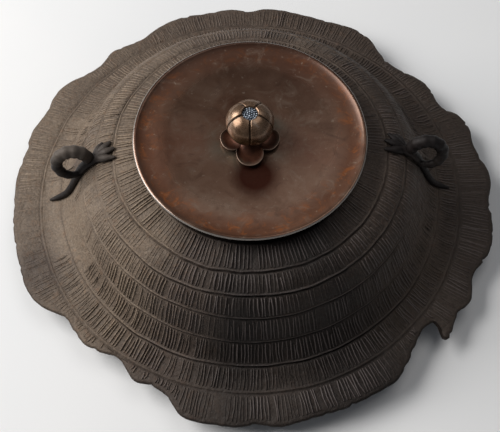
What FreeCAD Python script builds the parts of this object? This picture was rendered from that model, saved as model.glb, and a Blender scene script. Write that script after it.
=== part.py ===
import FreeCAD, Part
import math
import os

from FreeCAD import Vector

# Kettle for the tea ceremony: a cast iron dome with a ragged, overhanging brim, a smaller base pan sealed inside
# it, two ring lugs, and a dished bronze lid with a flower-bud knob.
# Millimetres. The origin is the centre of the flat bottom, +Z is up, and the front of the kettle faces -Y.

# Dome: collar, sloping shoulder, steep side and flared brim, one sheet of even thickness.
# The waist lies outside the base pan by its overhang, and the shoulder inside the waist by its inset.
MOUTH_RADIUS = 57.0
WALL = 4.0
COLLAR_TOP = 77.0
SHOULDER_TOP = 73.3
SHOULDER_HEIGHT = 64.0
SHOULDER_INSET = 19.6
WAIST_HEIGHT = 19.8
WAIST_OVERHANG = 11.1
BRIM_RADIUS = 153.0
BRIM_EDGE_HEIGHT = 15.0
COLLAR_ROUND = 2.0
SHOULDER_ROUND = 34.5
WAIST_ROUND = 28.0

# Ragged edge of the brim, counter-clockwise from +X: angle in degrees, depth of the bite from BRIM_RADIUS
BRIM_BITES = [
    (0, 1.5), (8, 0.5), (14, 3.2), (19, 0.7), (23, 3.0), (27, 10.2), (34, 7.8), (39, 10.5),
    (44, 14.4), (50, 12.8), (56, 5.2), (64, 3.5), (71, 5.0), (80, 3.8), (87, 4.6), (90, 6.7),
    (93, 4.8), (100, 4.7), (108, 4.0), (116, 6.5), (124, 10.5), (130, 7.0), (136, 10.8), (142, 7.5),
    (146, 3.4), (152, 3.0), (156, 5.0), (161, 3.2), (168, 4.5), (174, 3.8), (182, 4.6), (190, 4.2),
    (200, 4.4), (210, 5.2), (214, 10.2), (218, 14.8), (224, 13.8), (230, 15.5), (236, 19.4), (242, 13.6),
    (246, 15.1), (251, 12.0), (255, 5.0), (262, 4.0), (268, 3.7), (270.5, 5.2), (275, 3.6), (283, 4.5),
    (291, 4.4), (299, 4.8), (305.6, 5.3), (309.6, 9.6), (313.6, 13.6), (318.2, 16.4), (320.6, 14.2),
    (321.2, 10.0), (319.9, 6.4), (319.4, 3.0), (320.4, 1.8), (321.9, 2.5), (325.7, 5.6), (331.3, 2.6),
    (335.8, 6.8), (341.7, 2.7), (350, 0.2), (356, 2.0),
]

# Base pan, set inside the brim, and the lacquer seam between them
BASE_RADIUS = 103.0
BASE_WALL = 4.0
BASE_ROUND = 18.0
BASE_HEIGHT = 28.0
SEAM_HEIGHT = 10.0
SEAM_WIDTH = 8.0

# Sounding plates on the floor of the pan: length, width, angle round the kettle, turn of the plate
PLATE_SIZES = [
    (34.0, 19.0, 20, 8),
    (30.0, 22.0, 95, -12),
    (36.0, 17.0, 165, 15),
    (28.0, 20.0, 238, -6),
    (33.0, 21.0, 310, 10),
]
PLATE_CIRCLE_RADIUS = 50.0
PLATE_THICKNESS = 2.2
PLATE_CORNER_ROUND = 4.0
LACQUER_THICKNESS = 0.8
LACQUER_MARGIN = 1.6

# Ring lugs, curled like a prawn over the shoulder's round
RING_HOLE_RADIUS = 5.5
LUG_WALL = 6.0
LUG_THICKNESS = 9.0
LUG_EDGE_ROUND = 2.8
LUG_LIFT = 9.5
LUG_ELEVATION = 40.0
LUG_STRAND = 4.0
LEFT_LUG_TURN = 4.0
# Plan of the tail, the strand and the leg of the right lug: outward from the shoulder's corner, across to the back
LUG_STRAND_PLAN = [
    (-17.5, -2.0), (-15.5, 6.0), (-11.5, 10.5), (-7.0, 8.5), (-6.0, 3.5), (2.5, 3.4),
    (17.5, 3.0), (30.0, 1.8), (30.0, -1.2), (17.5, -3.0), (2.5, -3.4), (-10.5, -3.0),
]

# Lid: flat plate with a cove up to a raised edge, and a ring below that centres it in the mouth
LID_RADIUS = 66.5
LID_THICKNESS = 2.5
LID_EDGE_RISE = 2.7
LID_EDGE_THICKNESS = 2.0
LID_COVE_WIDTH = 8.0
LID_CREST_WIDTH = 1.6
LID_RING_HEIGHT = 6.0
LID_RING_WALL = 2.0
LID_RING_CLEARANCE = 0.8

# Knob: a five-petalled bud on a stem that turns in the lid, above a flower seat
KNOB_PETALS = 5
BUD_RADIUS = 13.7
BUD_TUBE_RADIUS = 10.0
BUD_GROOVE_RADIUS = 0.7
STEM_RADIUS = 3.0
STEM_CLEARANCE = 0.05
STEM_DEPTH_IN_BUD = 8.0
STEM_HEAD_RADIUS = 5.0
STEM_HEAD_HEIGHT = 2.0
WASHER_RADIUS = 9.0
WASHER_THICKNESS = 2.0
SEAT_HEIGHT = 4.5
SEAT_NECK_RADIUS = 7.5
SEAT_NECK_TOP_RADIUS = 5.6
PETAL_CENTRE_RADIUS = 12.0
PETAL_RADIUS = 7.6
PETAL_HEIGHT = 3.2
PETAL_FLOOR = 1.2
PETAL_SCOOP_RADIUS = 9.0
FRONT_ANGLE = -90.0
INLAY_RADIUS = 4.6
INLAY_DEPTH = 3.2
INLAY_SIDE_HEIGHT = 1.2
INLAY_CROWN = 0.8

# Room that a cutting shape runs past the piece it cuts
CUT_MARGIN = 10.0

# Radii and heights that follow from the sizes above
WAIST_RADIUS = BASE_RADIUS + WAIST_OVERHANG
SHOULDER_RADIUS = WAIST_RADIUS - SHOULDER_INSET
LID_TOP = COLLAR_TOP + LID_THICKNESS
BUD_BOTTOM = LID_TOP + SEAT_HEIGHT
BUD_CENTRE_HEIGHT = BUD_BOTTOM + BUD_TUBE_RADIUS
BUD_TOP = BUD_CENTRE_HEIGHT + BUD_TUBE_RADIUS
BUD_TUBE_CENTRE = BUD_RADIUS - BUD_TUBE_RADIUS
WASHER_BOTTOM = COLLAR_TOP - WASHER_THICKNESS

UP = Vector(0, 0, 1)
AXIS_POINT = Vector(0, 0, 0)


def at(radius, height):
    """Point in the half plane that is turned about the kettle's axis."""
    return Vector(radius, 0, height)


def unit(start, end):
    """Direction from one (radius, height) point to the next."""
    length = math.hypot(end[0] - start[0], end[1] - start[1])
    return ((end[0] - start[0]) / length, (end[1] - start[1]) / length)


def offset_path(points, distance):
    """Path of straight runs moved sideways by a distance, to its right as it is walked."""
    runs = [(a, unit(a, b)) for a, b in zip(points, points[1:])]
    moved = [((a[0] + d[1] * distance, a[1] - d[0] * distance), d) for a, d in runs]
    last = points[-1]
    last_way = runs[-1][1]
    result = [moved[0][0]]
    for (a, d), (b, e) in zip(moved, moved[1:]):
        cross = d[0] * e[1] - d[1] * e[0]
        along = ((b[0] - a[0]) * e[1] - (b[1] - a[1]) * e[0]) / cross
        result.append((a[0] + d[0] * along, a[1] + d[1] * along))
    result.append((last[0] + last_way[1] * distance, last[1] - last_way[0] * distance))
    return result


def rounded_edges(points, rounds):
    """Edges of a path of straight runs, with an arc of the given radius at each inner corner."""
    edges = []
    start = points[0]
    for before, corner, after, radius in zip(points, points[1:], points[2:], rounds):
        way_in = unit(before, corner)
        way_out = unit(corner, after)
        turn = math.acos(way_in[0] * way_out[0] + way_in[1] * way_out[1])
        reach = radius * math.tan(turn / 2)
        arc_start = (corner[0] - way_in[0] * reach, corner[1] - way_in[1] * reach)
        arc_end = (corner[0] + way_out[0] * reach, corner[1] + way_out[1] * reach)
        middle = ((arc_start[0] + arc_end[0]) / 2, (arc_start[1] + arc_end[1]) / 2)
        inward = unit(corner, middle)
        sagitta = radius / math.cos(turn / 2) - radius
        arc_middle = (corner[0] + inward[0] * sagitta, corner[1] + inward[1] * sagitta)
        edges.append(Part.LineSegment(at(*start), at(*arc_start)).toShape())
        edges.append(Part.Arc(at(*arc_start), at(*arc_middle), at(*arc_end)).toShape())
        start = arc_end
    edges.append(Part.LineSegment(at(*start), at(*points[-1])).toShape())
    return edges


def straight_edges(points):
    """Edges of an open path of straight runs."""
    return [Part.LineSegment(at(*a), at(*b)).toShape() for a, b in zip(points, points[1:])]


def turned(edges):
    """Solid of revolution about the kettle's axis, from the edges of a closed outline."""
    return Part.Face(Part.Wire(edges)).revolve(AXIS_POINT, UP, 360)


def plan_prism(points, low, high):
    """Upright prism from a closed outline of (x, y) points with straight sides."""
    loop = [Vector(x, y, low) for x, y in points]
    loop.append(loop[0])
    return Part.Face(Part.makePolygon(loop)).extrude(Vector(0, 0, high - low))


def around(shape, angle):
    """Copy of a shape turned about the kettle's axis."""
    copy = shape.copy()
    copy.rotate(AXIS_POINT, UP, angle)
    return copy


def dome_path():
    """Outside of the dome from the collar's top to past the brim's edge."""
    slope = (WAIST_HEIGHT - BRIM_EDGE_HEIGHT) / (BRIM_RADIUS - WAIST_RADIUS)
    brim_end = (BRIM_RADIUS + CUT_MARGIN, BRIM_EDGE_HEIGHT - slope * CUT_MARGIN)
    collar_radius = MOUTH_RADIUS + WALL
    shoulder_corner = (SHOULDER_RADIUS, SHOULDER_HEIGHT)
    waist_corner = (WAIST_RADIUS, WAIST_HEIGHT)
    return [(collar_radius, COLLAR_TOP), (collar_radius, SHOULDER_TOP), shoulder_corner, waist_corner, brim_end]


def under_dome(inward, top):
    """Everything under the dome's outside, after that outside is moved inward and carried up to a top."""
    path = offset_path(dome_path(), inward)
    path[0] = (path[0][0], top)
    rounds = [COLLAR_ROUND + inward, SHOULDER_ROUND - inward, WAIST_ROUND + inward]
    closing = [path[-1], (path[-1][0], -CUT_MARGIN), (0, -CUT_MARGIN), (0, top), path[0]]
    return turned(rounded_edges(path, rounds) + straight_edges(closing))


def brim_prism():
    """Upright prism with the brim's ragged outline."""
    points = []
    for angle, bite in BRIM_BITES:
        turn = math.radians(angle)
        radius = BRIM_RADIUS - bite
        points.append(Vector(radius * math.cos(turn), radius * math.sin(turn), -CUT_MARGIN))
    outline = Part.BSplineCurve()
    outline.interpolate(points, PeriodicFlag=True)
    edges = [stretch.toShape() for stretch in outline.toBezier()]
    height = COLLAR_TOP + 2 * CUT_MARGIN
    return Part.Face(Part.Wire(edges)).extrude(Vector(0, 0, height))


def kettle_hollow():
    """Space under the sheet of the dome, open up through the mouth."""
    return under_dome(WALL, COLLAR_TOP + CUT_MARGIN)


def kettle_body():
    """Cast dome with its collar and ragged brim."""
    sheet = under_dome(0, COLLAR_TOP).cut(kettle_hollow())
    return sheet.common(brim_prism())


def kettle_base():
    """Pan with a flat bottom, a rounded corner and an upright wall inside the dome."""
    outside = [(0, 0), (BASE_RADIUS, 0), (BASE_RADIUS, BASE_HEIGHT)]
    inner_radius = BASE_RADIUS - BASE_WALL
    inside = [(inner_radius, BASE_HEIGHT), (inner_radius, BASE_WALL), (0, BASE_WALL)]
    edges = rounded_edges(outside, [BASE_ROUND])
    edges += straight_edges([outside[-1], inside[0]])
    edges += rounded_edges(inside, [BASE_ROUND - BASE_WALL])
    edges += straight_edges([inside[-1], outside[0]])
    return turned(edges)


def base_seam():
    """Lacquer ring between the pan's wall and the inside of the dome, level with the pan's rim."""
    low = BASE_HEIGHT - SEAM_HEIGHT
    outer = BASE_RADIUS + SEAM_WIDTH
    section = [(BASE_RADIUS, low), (outer, low), (outer, BASE_HEIGHT), (BASE_RADIUS, BASE_HEIGHT)]
    ring = turned(straight_edges(section + section[:1]))
    return ring.common(kettle_hollow())


def plate_block(length, width, bottom, thickness, corner):
    """Flat block with rounded corners, centred on the kettle's axis."""
    block = Part.makeBox(length, width, thickness, Vector(-length / 2, -width / 2, bottom))
    upright = [e for e in block.Edges if abs(e.tangentAt(e.FirstParameter).z) > 0.5]
    return block.makeFillet(corner, upright)


def place_plate(block, angle, turn):
    """Turn a plate and set it on the circle of plates."""
    block.rotate(AXIS_POINT, UP, 90 + turn)
    block.translate(Vector(PLATE_CIRCLE_RADIUS, 0, 0))
    return around(block, angle)


def sounding_plate(length, width, angle, turn):
    """One sounding plate on its lacquer bed."""
    bottom = BASE_WALL + LACQUER_THICKNESS
    block = plate_block(length, width, bottom, PLATE_THICKNESS, PLATE_CORNER_ROUND)
    return place_plate(block, angle, turn)


def sounding_lacquer():
    """Lacquer beds that show a little round each sounding plate."""
    beds = []
    for length, width, angle, turn in PLATE_SIZES:
        long_bed = length + 2 * LACQUER_MARGIN
        wide_bed = width + 2 * LACQUER_MARGIN
        corner = PLATE_CORNER_ROUND + LACQUER_MARGIN
        bed = plate_block(long_bed, wide_bed, BASE_WALL, LACQUER_THICKNESS, corner)
        beds.append(place_plate(bed, angle, turn))
    return Part.makeCompound(beds)


def shoulder_round_centre():
    """Centre of the shoulder's round, in the half plane."""
    before, corner, after = dome_path()[1:4]
    way_in = unit(before, corner)
    way_out = unit(corner, after)
    turn = math.acos(way_in[0] * way_out[0] + way_in[1] * way_out[1])
    reach = SHOULDER_ROUND * math.tan(turn / 2)
    tangent = (corner[0] - way_in[0] * reach, corner[1] - way_in[1] * reach)
    return (tangent[0] + way_in[1] * SHOULDER_ROUND, tangent[1] - way_in[0] * SHOULDER_ROUND)


def ring_hole_centre():
    """Centre of the ring hole in the right lug, in the half plane."""
    centre = shoulder_round_centre()
    distance = SHOULDER_ROUND + LUG_LIFT
    elevation = math.radians(LUG_ELEVATION)
    return (centre[0] + distance * math.cos(elevation), centre[1] + distance * math.sin(elevation))


def right_lug():
    """Lug with an upright ring over the shoulder, and a tail and a leg that lie on the dome."""
    half = LUG_THICKNESS / 2
    radius, height = ring_hole_centre()
    across = Vector(0, 1, 0)
    ring = Part.makeCylinder(RING_HOLE_RADIUS + LUG_WALL, LUG_THICKNESS, Vector(radius, -half, height), across)
    ring = ring.makeFillet(LUG_EDGE_ROUND, [e for e in ring.Edges if e.Curve.TypeId == "Part::GeomCircle"])
    layer = under_dome(-LUG_STRAND, COLLAR_TOP)
    plan = [(SHOULDER_RADIUS + outward, side) for outward, side in LUG_STRAND_PLAN]
    strand = layer.common(plan_prism(plan, 0, COLLAR_TOP + CUT_MARGIN))
    hole_length = LUG_THICKNESS + 2 * CUT_MARGIN
    hole_start = Vector(radius, -hole_length / 2, height)
    hole = Part.makeCylinder(RING_HOLE_RADIUS, hole_length, hole_start, across)
    return ring.fuse(strand).cut(under_dome(0, COLLAR_TOP)).cut(hole).removeSplitter()


def left_lug():
    """Mirror image of the right lug, set a little nearer to the front."""
    return around(right_lug().mirror(AXIS_POINT, Vector(1, 0, 0)), LEFT_LUG_TURN)


def stem_hole(low, high):
    """Running hole for the knob's stem."""
    return Part.makeCylinder(STEM_RADIUS + STEM_CLEARANCE, high - low, at(0, low))


def lid():
    """Dished lid with a raised edge and a centring ring underneath."""
    edge_top = LID_TOP + LID_EDGE_RISE
    edge_low = edge_top - LID_EDGE_THICKNESS
    crest = LID_RADIUS - LID_CREST_WIDTH
    flat = LID_RADIUS - LID_COVE_WIDTH
    ring_outer = MOUTH_RADIUS - LID_RING_CLEARANCE
    ring_inner = ring_outer - LID_RING_WALL
    ring_low = COLLAR_TOP - LID_RING_HEIGHT
    rest_edge = MOUTH_RADIUS + WALL
    cove_middle = ((flat + crest) / 2 + LID_CREST_WIDTH / 2, LID_TOP + LID_EDGE_RISE / 3)
    edge_middle = (LID_RADIUS, (edge_top + edge_low) / 2)
    underside = [(0, COLLAR_TOP), (ring_inner, COLLAR_TOP), (ring_inner, ring_low), (ring_outer, ring_low),
                 (ring_outer, COLLAR_TOP), (rest_edge, COLLAR_TOP), (crest, edge_low)]
    edges = straight_edges(underside)
    edges.append(Part.Arc(at(crest, edge_low), at(*edge_middle), at(crest, edge_top)).toShape())
    edges.append(Part.Arc(at(crest, edge_top), at(*cove_middle), at(flat, LID_TOP)).toShape())
    edges += straight_edges([(flat, LID_TOP), (0, LID_TOP), (0, COLLAR_TOP)])
    return turned(edges).cut(stem_hole(COLLAR_TOP, LID_TOP))


def knob_seat():
    """Flower plate of cupped petals, with a neck up to the bud."""
    petals = []
    scoops = []
    scoop_height = LID_TOP + PETAL_FLOOR + PETAL_SCOOP_RADIUS
    for petal in range(KNOB_PETALS):
        angle = FRONT_ANGLE + petal * 360 / KNOB_PETALS
        disc = Part.makeCylinder(PETAL_RADIUS, PETAL_HEIGHT, at(PETAL_CENTRE_RADIUS, LID_TOP))
        scoop = Part.makeSphere(PETAL_SCOOP_RADIUS, at(PETAL_CENTRE_RADIUS, scoop_height))
        petals.append(around(disc, angle))
        scoops.append(around(scoop, angle))
    flower = petals[0].multiFuse(petals[1:]).cut(scoops)
    neck = Part.makeCone(SEAT_NECK_RADIUS, SEAT_NECK_TOP_RADIUS, SEAT_HEIGHT, at(0, LID_TOP))
    return flower.fuse(neck).cut(stem_hole(LID_TOP, BUD_BOTTOM)).removeSplitter()


def knob_stem():
    """Stem from inside the bud, down through the lid, with its peened head under the washer."""
    top = BUD_BOTTOM + STEM_DEPTH_IN_BUD
    shank = Part.makeCylinder(STEM_RADIUS, top - WASHER_BOTTOM, at(0, WASHER_BOTTOM))
    head_low = WASHER_BOTTOM - STEM_HEAD_HEIGHT
    head = Part.makeCone(STEM_RADIUS, STEM_HEAD_RADIUS, STEM_HEAD_HEIGHT, at(0, head_low))
    return shank.fuse(head).removeSplitter()


def stem_washer():
    """Washer under the lid."""
    disc = Part.makeCylinder(WASHER_RADIUS, WASHER_THICKNESS, at(0, WASHER_BOTTOM))
    return disc.cut(stem_hole(WASHER_BOTTOM, COLLAR_TOP))


def bud_groove():
    """Groove between two petals of the bud, along the meridian at the front."""
    start = at(BUD_TUBE_CENTRE, BUD_TOP)
    circle = Part.makeCircle(BUD_GROOVE_RADIUS, start, Vector(1, 0, 0))
    section = Part.Face(Part.Wire(circle))
    cutter = section.revolve(at(BUD_TUBE_CENTRE, BUD_CENTRE_HEIGHT), Vector(0, 1, 0), 180)
    return around(cutter, FRONT_ANGLE)


def knob_bud():
    """Round bud with grooves between its petals, a pit at the top and a blind hole for the stem."""
    low = (BUD_TUBE_CENTRE, BUD_BOTTOM)
    widest = (BUD_RADIUS, BUD_CENTRE_HEIGHT)
    high = (BUD_TUBE_CENTRE, BUD_TOP)
    edges = [Part.Arc(at(*low), at(*widest), at(*high)).toShape()]
    edges += straight_edges([high, (0, BUD_TOP), (0, BUD_BOTTOM), low])
    bud = turned(edges)
    groove = bud_groove()
    grooves = [around(groove, petal * 360 / KNOB_PETALS) for petal in range(KNOB_PETALS)]
    pit = Part.makeCylinder(INLAY_RADIUS, INLAY_DEPTH, at(0, BUD_TOP - INLAY_DEPTH))
    hole = Part.makeCylinder(STEM_RADIUS, STEM_DEPTH_IN_BUD, at(0, BUD_BOTTOM))
    return bud.cut(grooves).cut(pit).cut(hole)


def stamen_inlay():
    """Low domed boss in the pit at the top of the bud."""
    floor = BUD_TOP - INLAY_DEPTH
    shoulder = floor + INLAY_SIDE_HEIGHT
    crown = shoulder + INLAY_CROWN
    ball = (INLAY_RADIUS ** 2 + INLAY_CROWN ** 2) / (2 * INLAY_CROWN)
    half_angle = math.asin(INLAY_RADIUS / ball) / 2
    middle = (ball * math.sin(half_angle), crown - ball * (1 - math.cos(half_angle)))
    edges = straight_edges([(0, crown), (0, floor), (INLAY_RADIUS, floor), (INLAY_RADIUS, shoulder)])
    edges.append(Part.Arc(at(INLAY_RADIUS, shoulder), at(*middle), at(0, crown)).toShape())
    return turned(edges)


def pieces():
    """Every piece of the kettle by its node's name."""
    made = {
        "kettle_body": kettle_body(),
        "kettle_base": kettle_base(),
        "base_seam": base_seam(),
        "left_lug": left_lug(),
        "right_lug": right_lug(),
        "lid": lid(),
        "knob_seat": knob_seat(),
        "knob_bud": knob_bud(),
        "knob_stem": knob_stem(),
        "stem_washer": stem_washer(),
        "stamen_inlay": stamen_inlay(),
        "sounding_lacquer": sounding_lacquer(),
    }
    for number, sizes in enumerate(PLATE_SIZES, start=1):
        made[f"sounding_plate_{number}"] = sounding_plate(*sizes)
    return made


os.makedirs("parts", exist_ok=True)
for name, shape in pieces().items():
    shape.exportStep(f"parts/{name}.step")
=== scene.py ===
import bisect
import math
import random

import bmesh
import bpy
from mathutils import Matrix, Vector, noise


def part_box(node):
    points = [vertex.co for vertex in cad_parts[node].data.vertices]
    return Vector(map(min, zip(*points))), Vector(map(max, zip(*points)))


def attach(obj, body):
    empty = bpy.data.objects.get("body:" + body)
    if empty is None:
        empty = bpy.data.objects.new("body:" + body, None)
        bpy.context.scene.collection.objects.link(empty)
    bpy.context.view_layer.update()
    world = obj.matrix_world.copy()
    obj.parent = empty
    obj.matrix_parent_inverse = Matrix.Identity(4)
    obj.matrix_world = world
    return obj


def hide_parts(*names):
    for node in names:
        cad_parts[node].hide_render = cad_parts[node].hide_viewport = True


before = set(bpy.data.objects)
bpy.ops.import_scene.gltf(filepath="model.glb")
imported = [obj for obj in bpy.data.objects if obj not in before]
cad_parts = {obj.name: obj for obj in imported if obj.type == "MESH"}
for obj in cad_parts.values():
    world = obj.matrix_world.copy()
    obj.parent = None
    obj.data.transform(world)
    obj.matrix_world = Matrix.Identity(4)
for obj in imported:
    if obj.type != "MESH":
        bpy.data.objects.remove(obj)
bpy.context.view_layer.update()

# Tea ceremony kettle: cast iron dome with rings and ribs, ring lugs, bronze lid and flower-bud knob.
# Metres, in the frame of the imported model. Sizes below are in millimetres and are multiplied by MM.
MM = 0.001

# Camera and stage
CAMERA_PLACE = (0.0, -0.27795, 0.51134)
CAMERA_TILT = 27.74
CAMERA_LENS = 64.8
FLOOR_SIZE = 6.0
FLOOR_PLAIN_RADIUS = 0.4
FLOOR_END_RADIUS = 1.5
BACKDROP = (0.86, 0.87, 0.88, 1.0)
AMBIENT = (0.88, 0.92, 1.0, 1.0)
AMBIENT_STRENGTH = 0.10
LIGHT_TARGET = (0.0, 0.0, 0.04)
# Name, place, size, power and colour of each lamp
LIGHTS = (("key", (-1.15, 0.26, 0.95), 1.1, 31.5, (1.0, 0.985, 0.965)),
          ("overhead", (0.34, 0.32, 1.30), 0.8, 3.0, (1.0, 0.98, 0.96)),
          ("fill", (1.1, -0.9, 1.3), 1.6, 0.6, (0.92, 0.96, 1.0)))

# Outside of the dome, as in the CAD: corners of its straight runs and the rounds between them
WALL = 4.0
COLLAR_RADIUS = 61.0
COLLAR_TOP = 77.0
SHOULDER_TOP = 73.3
SHOULDER_CORNER = (94.5, 64.0)
WAIST_CORNER = (114.1, 19.8)
BRIM_END = (168.0, 13.15)
BRIM_RADIUS = 153.0
COLLAR_ROUND = 2.0
SHOULDER_ROUND = 34.5
WAIST_ROUND = 28.0
ARC_STEPS = 24

# Raised rings and ribs on the dome
RING_RADII = (79.0, 90.5, 99.4, 106.9, 116.5, 130.6)
RING_HEIGHT = 0.72
RING_HALF_WIDTH = 0.45
RING_GROOVE_DEPTH = 0.55
RING_GROOVE_OFFSET = 1.15
RING_GROOVE_HALF_WIDTH = 0.5
RING_REACH = 3.0
LAST_RING_SHARE = 0.6
RING_LEAST = 0.40
RING_WEAR_SHIFT = 20.0
# Paler ring tops, partly wear and partly painted highlight; painted shade in the ring grooves
RING_CREST = 0.75
RING_GROOVE_SHADE = 0.9
WORN_CREST = 0.35
RIB_PITCH = 2.0
RIB_WIDTH = 1.12
RIB_HEIGHT = 0.80
RIB_START_GAP = 1.5
RIB_END_GAP = 0.5
RIB_EDGE_GAP = 1.8
RIB_ROOT_DEPTH = 0.35
# Paler rib tops, partly wear and partly painted highlight
RIB_CREST = 0.8
RIB_ROW_TURN = 0.01
RIB_SHIFT = 0.2
RIB_SKEW = 0.008
RIB_BEND = 0.005
RIB_START_RANGE = (-0.2, 0.3)
RIB_END_RANGE = (0.0, 0.4)
RIB_HEIGHT_RANGE = (0.6, 1.2)
RIB_WIDTH_RANGE = (0.75, 1.2)
RIB_CUT_RANGE = (0.10, 0.35)
RIB_CUT_CHANCE = 0.08
RIB_MISSING_CHANCE = 0.02
RIB_LEAST_LENGTH = 3.0
RIB_LEAST_HEIGHT = 0.10
LAST_RIB_LENGTH = 16.0
FIRST_RIB_RADIUS = 63.0
# Painted shade: a black strip round the collar under the lid's edge, wider at the front
SHADED_RADIUS = 62.8
SHADED_FRONT = 1.5
SHADED_BLEND = 0.6
SHADED_GAP = 0.3
SHADED_CREST = 1.2
COLUMNS = 480
STATIONS_BETWEEN_RINGS = 4
BLEND_RADIUS = 112.0
FIXED_RADIUS = 132.3
EDGE_ROUND = 1.3
LEAST_STEP = 0.0004
BLEND_POWER = 10
COLLAR_LENGTH = 5.0
# Painted shade: the collar under the lid is darkened
COLLAR_SHADE = -0.8
RAGGED_ROWS = 6
UNDERSIDE_RADII = (128.0, 120.0)
UNDERSIDE_LEAST_LENGTH = 5.5
MOUTH_DROP = 3.0
BRIM_LEAST_RADIUS = 125.0
EDGE_WALL_SLOPE = 0.3
TOP_FACE_SLOPE = 0.5
EDGE_WANDER = 0.5
EDGE_SCALE = 30.0
CHIP_SCALE = 34.0
CHIP_LEAST = 0.22
CHIP_DEPTH = 3.2
# Painted shade on the brim's edge
BRIM_EDGE_SHADE = -0.35
# Inset and drop of the rows round the edge, and of the lowest one from its underside
EDGE_ROWS = ((0.4, 0.30), (0.0, 1.2), (0.15, 2.2))
LOWEST_INSET = 0.9
LOWEST_LIFT = 0.1

# Waves of noise round the kettle: height, step along the radius or from ring to ring, scale and seed
WEAR_WAVES = ((0.60, 0.035, 3.1, 1), (0.35, 0.09, 9.0, 2), (0.45, 0.15, 22.0, 7))
SKIN_WAVES = ((0.30, 0.05, 5.0, 3), (0.12, 0.16, 16.0, 4))
RING_WAVES = ((0.6, 3.0, 2.6, 5), (0.45, 5.0, 9.0, 6))
TONE_WAVES = ((0.10, 0.03, 3.0, 11),)
SEED_STEP = 17.3
WEAR_LEVEL = 0.80

# Patches of the dome: bearing, half angle in radians, radius and half width
# Painted shade on the dome beside the left lug, seen through its ring hole
LEFT_LUG_SHADE_PATCH = (174.5, 0.09, 106.5, 7.0)
LEFT_LUG_SHADE_SHARE = 0.45
DARK_EDGE_PATCH = (203.0, 0.13, 0.0, math.inf)
DARK_EDGE_SHARE = 0.35
EDGE_TONE_RADIUS = 118.0
EDGE_TONE_WIDTH = 14.0
EDGE_LEAST_TONE = 0.45
EDGE_LIFT = 0.22
EDGE_SIDES_DARK = 0.14
EDGE_RIGHT_DARK = 0.12
# Worn patches have the share that is rubbed away as a fifth value
WORN_PATCHES = ((-131.0, 0.28, 79.0, 9.0, 0.75), (194.0, 0.46, 114.0, 26.0, 1.05),
                (4.0, 0.50, 110.0, 30.0, 0.22), (95.0, 0.9, 0.0, math.inf, 0.22),
                (-97.0, 0.06, 139.0, 8.0, 0.8))
# Faded pattern: bearing, half angle in radians and the share that is lost
FADED_RINGS = (2.0, 0.75, 0.6)
FADED_RIBS = (5.0, 0.7, 0.4)
FADED_LAST_RIBS = (182.0, 0.6, 0.65)

# Painted light and shade on the dome, with some patina: lighter on the left, darker at the front and right.
# Bearing in degrees counter-clockwise from +X, paleness from 0 to 1
PAINTED_LIGHT_TONES = ((0, 0.46), (45, 0.50), (90, 0.54), (135, 0.80), (180, 1.0), (222, 1.0), (248, 0.50), (270, 0.05),
         (300, 0.05), (332, 0.46), (360, 0.46))

# Ring lugs: middle of the hole, turn of the left one, and where the painted highlight on its top starts
RING_HOLE = (103.274, 63.399)
LEFT_LUG_TURN = 4.0
LUG_HIGHLIGHT_LOW = 62.0
LUG_HIGHLIGHT_RISE = 11.0
LEFT_LUG_HIGHLIGHT = 0.75
SEGMENT_SWELL = 0.055
SEGMENT_STEPS = 11.0
ARCH_STEPS = 10
ARCH_SIDES = 28
LIMB_STEPS = 8
LIMB_SIDES = 20
LEAST_TUBE = 0.05

# Lid and knob
LID_RADIUS = 66.5
LID_THICKNESS = 2.5
LID_EDGE_RISE = 2.7
LID_EDGE_THICKNESS = 2.0
LID_COVE_WIDTH = 11.0
LID_CREST_WIDTH = 1.6
LID_RING_OUTER = 56.2
LID_RING_INNER = 54.2
LID_RING_LOW = 71.0
STEM_HOLE_RADIUS = 3.05
INLAY_RADIUS = 4.6
INLAY_DEPTH = 3.2
LID_SEGMENTS = 256
LID_RISE_POWER = 2.6
LID_COVE_STEPS = 16
LID_CREST_STEPS = 12
RED_START = 42.0
RED_RISE = 16.0
RED_END = 67.0
RED_FALL = 5.0
# Painted reflection of the knob on the lid in front of it
KNOB_REFLECTION_SPOT = (3.0, -25.5)
KNOB_REFLECTION_REACH = (8.5, 16.5)
BLOOM_SPOT = (0.0, -2.0)
BLOOM_REACH = (17.0, 27.0)
# The lid darkens towards the back between these distances behind its middle
BACK_DARK_REACH = (5.0, 62.0)
# Painted highlight on the lid's outer lip: its width and drop
RIM_WIDTH = 0.8
RIM_DROP = 0.3
LID_RING_BEVEL = 0.4
LID_RING_FILLET = 0.3
BUD_COLUMNS = 300
BUD_ROWS = 56
BUD_GROOVE_HALF_WIDTH = 0.45
BUD_GROOVE_DEPTH = 0.85
BUD_PETAL_SWELL = 0.40
# Painted reflection of the dark lid on the bud's lower part
LID_REFLECTION_SLOPE = 2.2
LID_REFLECTION_TOP = 0.12
SEAT_COLUMNS = 360
SEAT_HOLE_RADIUS = 3.1
SEAT_NECK = 6.8
SEAT_PLATE = 1.3
SEAT_CUP = 2.046
SEAT_ROOT = 2.2
SEAT_BETWEEN = 0.33
SIDE_PETALS = 0.87
FRONT_PETAL = 0.19
PETAL_NOTCH = 0.30
BOSS_COLUMNS = 48
STAMEN_RADIUS = 0.66
STAMEN_FALL = 0.8
STAMEN_STAGGER = 0.3
# Radius and number of stamens in each ring
STAMEN_RINGS = ((1.4, 6), (2.65, 11), (3.85, 16))
KNOB_PETALS = 5
PLATES = 5
FRONT_ANGLE = -90.0

random.seed(7)


def clamp(value):
    """Value kept from 0 to 1."""
    return max(0.0, min(1.0, value))


def spot_at(radius, angle, z):
    """Point in metres at a radius, angle and height given in mm."""
    return (radius * math.cos(angle) * MM, radius * math.sin(angle) * MM, z * MM)


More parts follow.
